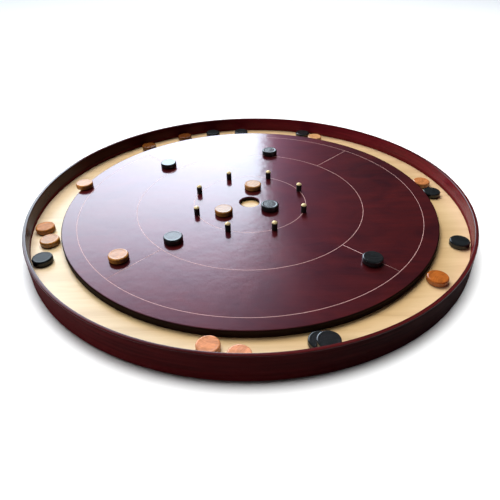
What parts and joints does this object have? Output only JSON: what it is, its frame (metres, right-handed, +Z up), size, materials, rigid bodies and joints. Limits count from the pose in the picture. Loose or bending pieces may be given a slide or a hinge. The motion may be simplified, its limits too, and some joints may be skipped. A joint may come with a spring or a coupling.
{
  "type": "crokinole board",
  "caption": "Round flat dexterity-game board with a raised stained playing surface, centre hole, ring of posts, ditch, hoop rail and flat round playing discs.",
  "frame": {"origin": "middle of the board, at the plane of its feet on the table", "axes": "+Z up out of the playing surface; the quadrant lines run along the diagonals of X and Y, so +X, -X, +Y and -Y each point at a player's seat"},
  "size_m": [0.7724, 0.7724, 0.0454],
  "materials": {
    "playing_surface": "mahogany stain under gloss lacquer",
    "rail": "mahogany stain under gloss lacquer",
    "base_panel": "satin clear-coated maple plywood",
    "hole_floor_plug": "satin clear-coated maple",
    "natural_disc": "polished natural hardwood",
    "black_disc": "polished black-stained hardwood",
    "post_sleeve": "smooth latex tube",
    "post_screw": "polished",
    "steel_screws": "zinc plated",
    "rail_pins": "bright wire",
    "rubber_feet": "matte moulded"
  },
  "bodies": {
    "board": {"assembly_screws": "steel_screws", "base_panel": "base_panel", "foot_screws": "steel_screws", "hole_floor_plug": "hole_floor_plug", "playing_surface": "playing_surface", "post_screw_1": "post_screw", "post_screw_2": "post_screw", "post_screw_3": "post_screw", "post_screw_4": "post_screw", "post_screw_5": "post_screw", "post_screw_6": "post_screw", "post_screw_7": "post_screw", "post_screw_8": "post_screw", "post_sleeve_1": "post_sleeve", "post_sleeve_2": "post_sleeve", "post_sleeve_3": "post_sleeve", "post_sleeve_4": "post_sleeve", "post_sleeve_5": "post_sleeve", "post_sleeve_6": "post_sleeve", "post_sleeve_7": "post_sleeve", "post_sleeve_8": "post_sleeve", "rail": "rail", "rail_pins": "rail_pins", "rubber_feet": "rubber_feet"},
    "black_disc_1": {"black_disc_1": "black_disc"},
    "black_disc_2": {"black_disc_2": "black_disc"},
    "natural_disc_1": {"natural_disc_1": "natural_disc"},
    "natural_disc_2": {"natural_disc_2": "natural_disc"},
    "black_disc_3": {"black_disc_3": "black_disc"},
    "black_disc_4": {"black_disc_4": "black_disc"},
    "natural_disc_3": {"natural_disc_3": "natural_disc"},
    "black_disc_5": {"black_disc_5": "black_disc"},
    "natural_disc_4": {"natural_disc_4": "natural_disc"},
    "natural_disc_5": {"natural_disc_5": "natural_disc"},
    "natural_disc_6": {"natural_disc_6": "natural_disc"},
    "black_disc_6": {"black_disc_6": "black_disc"},
    "natural_disc_7": {"natural_disc_7": "natural_disc"},
    "natural_disc_8": {"natural_disc_8": "natural_disc"},
    "black_disc_7": {"black_disc_7": "black_disc"},
    "black_disc_8": {"black_disc_8": "black_disc"},
    "natural_disc_9": {"natural_disc_9": "natural_disc"},
    "black_disc_9": {"black_disc_9": "black_disc"},
    "natural_disc_10": {"natural_disc_10": "natural_disc"},
    "natural_disc_11": {"natural_disc_11": "natural_disc"},
    "black_disc_10": {"black_disc_10": "black_disc"},
    "black_disc_11": {"black_disc_11": "black_disc"},
    "black_disc_12": {"black_disc_12": "black_disc"},
    "natural_disc_12": {"natural_disc_12": "natural_disc"},
    "natural_disc_13": {"natural_disc_13": "natural_disc"},
    "black_disc_13": {"black_disc_13": "black_disc"}
  },
  "joints": [
    {"name": "black_disc_1_slide", "type": "slide", "parent": "board", "child": "black_disc_1", "axis": [0.7254, -0.6884, 0], "range_m": [-0.082, 0.088]},
    {"name": "black_disc_2_slide", "type": "slide", "parent": "board", "child": "black_disc_2", "axis": [-0.225, -0.9744, 0], "range_m": [-0.096, 0.074]},
    {"name": "natural_disc_1_slide", "type": "slide", "parent": "board", "child": "natural_disc_1", "axis": [-0.1305, -0.9914, 0], "range_m": [-0.041, 0.029]},
    {"name": "natural_disc_2_slide", "type": "slide", "parent": "board", "child": "natural_disc_2", "axis": [0.7826, 0.6225, 0], "range_m": [-0.035, 0.035]},
    {"name": "black_disc_3_slide", "type": "slide", "parent": "board", "child": "black_disc_3", "axis": [-0.8141, 0.5807, 0], "range_m": [-0.052, 0.018]},
    {"name": "black_disc_4_slide", "type": "slide", "parent": "board", "child": "black_disc_4", "axis": [0.7254, 0.6884, 0], "range_m": [-0.015, 0.035]},
    {"name": "natural_disc_3_slide", "type": "slide", "parent": "board", "child": "natural_disc_3", "axis": [0.7771, 0.6293, 0], "range_m": [-0.045, 0.035]},
    {"name": "black_disc_5_slide", "type": "slide", "parent": "board", "child": "black_disc_5", "axis": [-0.6884, 0.7254, 0], "range_m": [-0.048, 0.122]},
    {"name": "natural_disc_4_slide", "type": "slide", "parent": "board", "child": "natural_disc_4", "axis": [0.9744, -0.225, 0], "range_m": [0, 0.127]},
    {"name": "natural_disc_5_lift", "type": "slide", "parent": "board", "child": "natural_disc_5", "axis": [0, 0, 1], "range_m": [0, 0.045]},
    {"name": "natural_disc_6_lift", "type": "slide", "parent": "board", "child": "natural_disc_6", "axis": [0, 0, 1], "range_m": [0, 0.045]},
    {"name": "black_disc_6_lift", "type": "slide", "parent": "board", "child": "black_disc_6", "axis": [0, 0, 1], "range_m": [0, 0.045]},
    {"name": "natural_disc_7_lift", "type": "slide", "parent": "board", "child": "natural_disc_7", "axis": [0, 0, 1], "range_m": [0, 0.045]},
    {"name": "natural_disc_8_lift", "type": "slide", "parent": "board", "child": "natural_disc_8", "axis": [0, 0, 1], "range_m": [0, 0.045]},
    {"name": "black_disc_7_lift", "type": "slide", "parent": "board", "child": "black_disc_7", "axis": [0, 0, 1], "range_m": [0, 0.045]},
    {"name": "black_disc_8_lift", "type": "slide", "parent": "board", "child": "black_disc_8", "axis": [0, 0, 1], "range_m": [0, 0.045]},
    {"name": "natural_disc_9_lift", "type": "slide", "parent": "board", "child": "natural_disc_9", "axis": [0, 0, 1], "range_m": [0, 0.045]},
    {"name": "black_disc_9_lift", "type": "slide", "parent": "board", "child": "black_disc_9", "axis": [0, 0, 1], "range_m": [0, 0.045]},
    {"name": "natural_disc_10_lift", "type": "slide", "parent": "board", "child": "natural_disc_10", "axis": [0, 0, 1], "range_m": [0, 0.045]},
    {"name": "natural_disc_11_lift", "type": "slide", "parent": "board", "child": "natural_disc_11", "axis": [0, 0, 1], "range_m": [0, 0.045]},
    {"name": "black_disc_10_lift", "type": "slide", "parent": "board", "child": "black_disc_10", "axis": [0, 0, 1], "range_m": [0, 0.045]},
    {"name": "black_disc_11_lift", "type": "slide", "parent": "board", "child": "black_disc_11", "axis": [0, 0, 1], "range_m": [0, 0.045]},
    {"name": "black_disc_12_lift", "type": "slide", "parent": "board", "child": "black_disc_12", "axis": [0, 0, 1], "range_m": [0, 0.045]},
    {"name": "natural_disc_12_lift", "type": "slide", "parent": "board", "child": "natural_disc_12", "axis": [0, 0, 1], "range_m": [0, 0.045]},
    {"name": "natural_disc_13_lift", "type": "slide", "parent": "board", "child": "natural_disc_13", "axis": [0, 0, 1], "range_m": [0, 0.045]},
    {"name": "black_disc_13_lift", "type": "slide", "parent": "black_disc_7", "child": "black_disc_13", "axis": [0, 0, 1], "range_m": [0, 0.045]}
  ]
}
